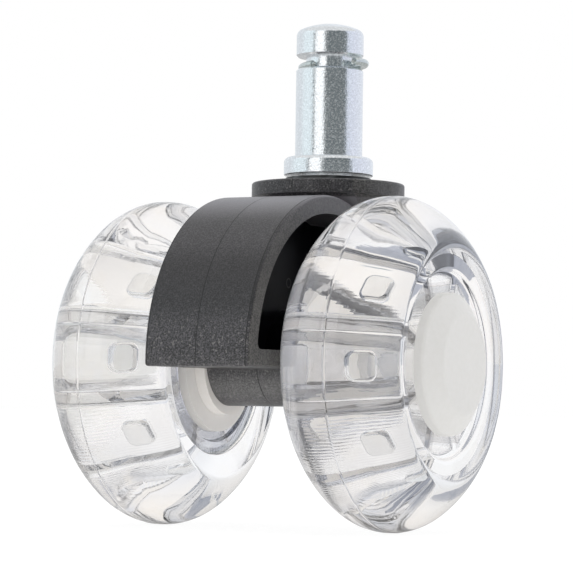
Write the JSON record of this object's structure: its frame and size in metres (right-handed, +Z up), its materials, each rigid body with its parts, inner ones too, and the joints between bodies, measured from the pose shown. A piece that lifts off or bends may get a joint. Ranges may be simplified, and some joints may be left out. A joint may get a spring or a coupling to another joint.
{
  "type": "chair caster wheel",
  "caption": "Twin-wheel hooded swivel caster with clear tread wheels, white hub caps and a grip-neck plug-in stem for an office chair.",
  "frame": {"origin": "on the swivel axis, at the top face of the stem's collar, where the chair's socket sits down", "axes": "+Z up along the stem; the wheels trail towards -X; the axle runs along Y, the left wheel at +Y"},
  "size_m": [0.0549, 0.065, 0.082],
  "materials": {
    "zinc_plate": "bright zinc plating, slightly grainy",
    "spring_wire": "drawn spring steel wire, plated",
    "washer_steel": "zinc plated sheet",
    "axle_steel": "ground steel",
    "black_nylon": "fine spark-eroded grain",
    "black_acetal": "smooth",
    "clear_tread": "water-clear soft polyurethane, glossy",
    "clear_core": "water-clear polycarbonate, glossy",
    "white_acetal": "smooth, slightly translucent",
    "white_nylon": "smooth",
    "white_cap": "satin, milky"
  },
  "bodies": {
    "stem": {"stem": "zinc_plate", "friction_ring": "spring_wire", "stem_retaining_ring": "spring_wire"},
    "housing": {"housing": "black_nylon", "thrust_washer": "washer_steel", "swivel_bush": "black_acetal", "axle_pin": "axle_steel", "left_inner_washer": "white_nylon", "left_outer_washer": "washer_steel", "left_axle_clip": "spring_wire", "right_inner_washer": "white_nylon", "right_outer_washer": "washer_steel", "right_axle_clip": "spring_wire"},
    "left_wheel": {"left_tyre": "clear_tread", "left_wheel_core": "clear_core", "left_core_cover": "clear_core", "left_hub_bush": "white_acetal", "left_hub_cap": "white_cap"},
    "right_wheel": {"right_tyre": "clear_tread", "right_wheel_core": "clear_core", "right_core_cover": "clear_core", "right_hub_bush": "white_acetal", "right_hub_cap": "white_cap"}
  },
  "joints": [
    {"name": "swivel", "type": "hinge", "parent": "stem", "child": "housing", "pos_m": [0, 0, -0.0043], "axis": [0, 0, 1], "continuous": true},
    {"name": "left_wheel_spin", "type": "hinge", "parent": "housing", "child": "left_wheel", "pos_m": [-0.016, 0.02035, -0.034], "axis": [0, 1, 0], "continuous": true},
    {"name": "right_wheel_spin", "type": "hinge", "parent": "housing", "child": "right_wheel", "pos_m": [-0.016, -0.02035, -0.034], "axis": [0, 1, 0], "continuous": true}
  ]
}
